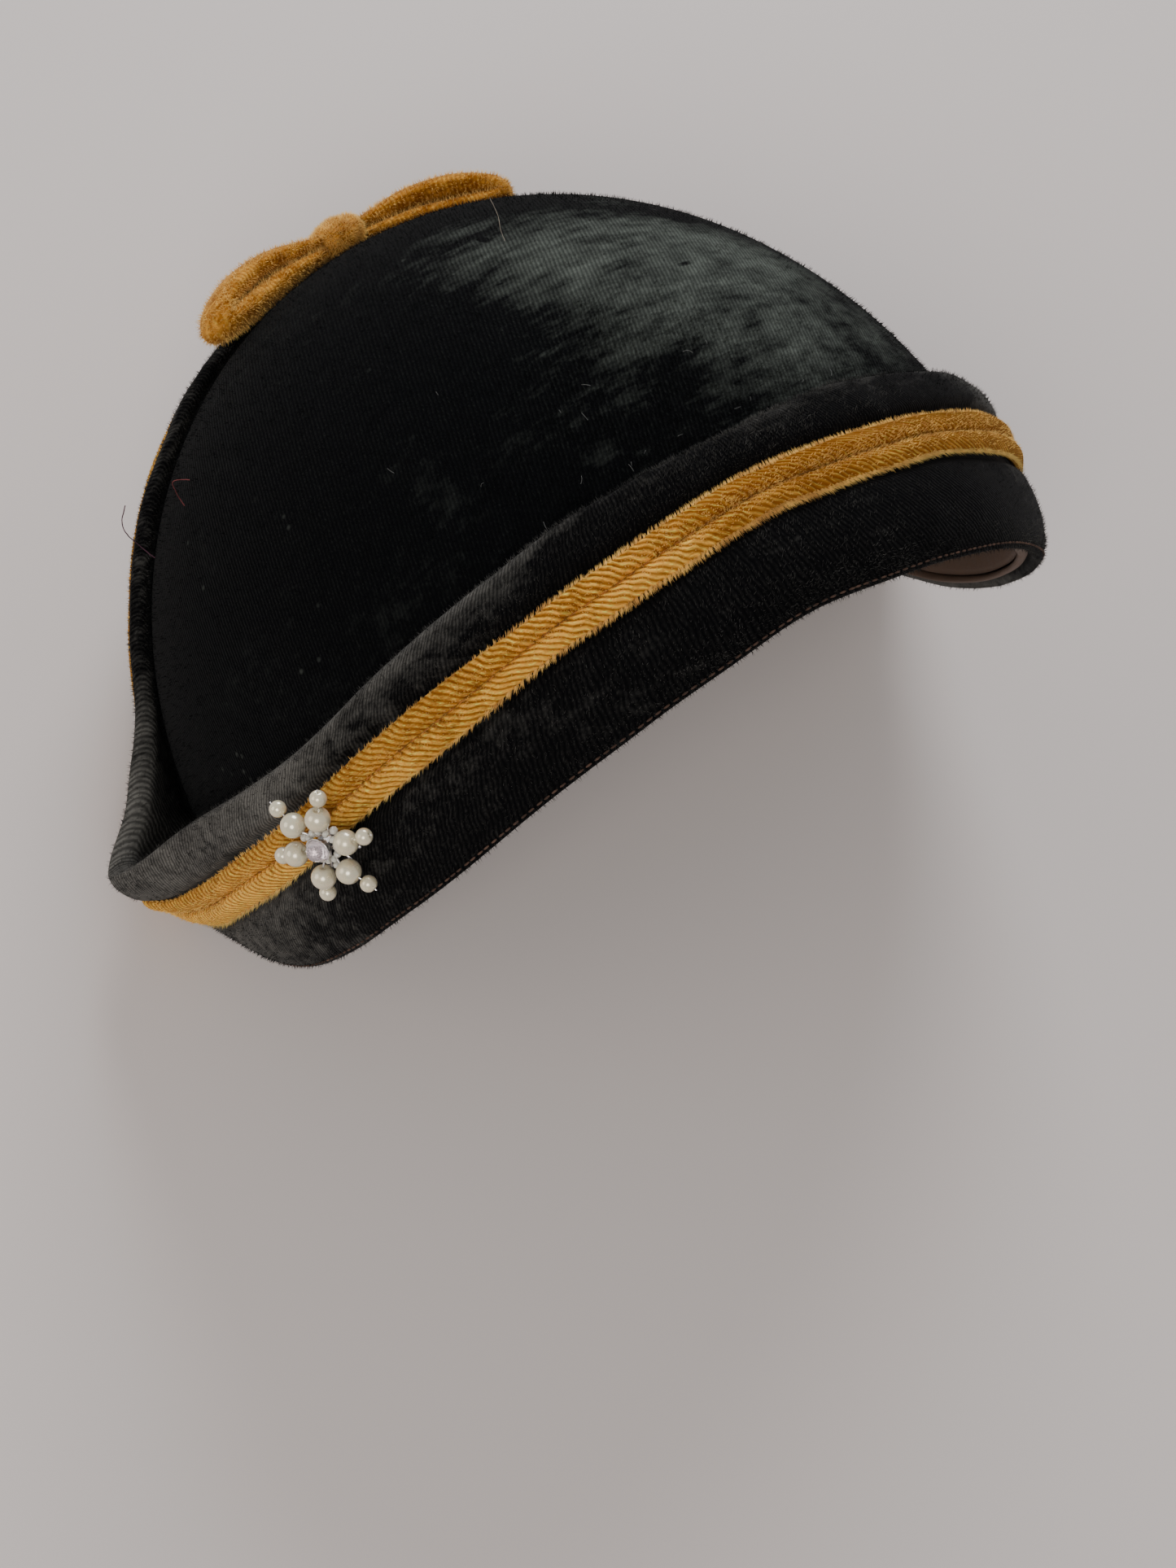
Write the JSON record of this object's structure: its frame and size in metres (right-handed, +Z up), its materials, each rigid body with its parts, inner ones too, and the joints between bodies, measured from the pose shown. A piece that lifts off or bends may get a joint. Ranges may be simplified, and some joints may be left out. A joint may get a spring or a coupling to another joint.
{
  "type": "half hat",
  "caption": "Black velvet half hat with a stiff domed crown, a turned-up padded cuff, a gold velvet band and back bow, and a pearl snowflake brooch at one side.",
  "frame": {"origin": "middle of the whole hat's box, on the surface it stands on", "axes": "+Z up, the hat's front towards -Y, the wearer's left towards +X"},
  "size_m": [0.2112, 0.15, 0.1421],
  "materials": {
    "crown_velvet": "matte",
    "cuff_velvet": "matte",
    "gold_velvet": "matte",
    "binding_cloth": "matte",
    "silver": "polished",
    "crystal": "polished",
    "pearl": "satin"
  },
  "bodies": {
    "root": {"crown": "crown_velvet", "cuff": "cuff_velvet", "hem_binding": "binding_cloth", "gold_band": "gold_velvet", "bow_loop_right": "gold_velvet", "bow_loop_left": "gold_velvet", "bow_knot": "gold_velvet", "brooch_plate": "silver", "brooch_pin": "silver", "brooch_collar": "silver", "brooch_crystal": "crystal", "big_pearl_1": "pearl", "big_pearl_2": "pearl", "big_pearl_3": "pearl", "big_pearl_4": "pearl", "big_pearl_5": "pearl", "big_pearl_6": "pearl", "small_pearl_1": "pearl", "small_pearl_2": "pearl", "small_pearl_3": "pearl", "small_pearl_4": "pearl", "small_pearl_5": "pearl", "small_pearl_6": "pearl"}
  },
  "joints": []
}
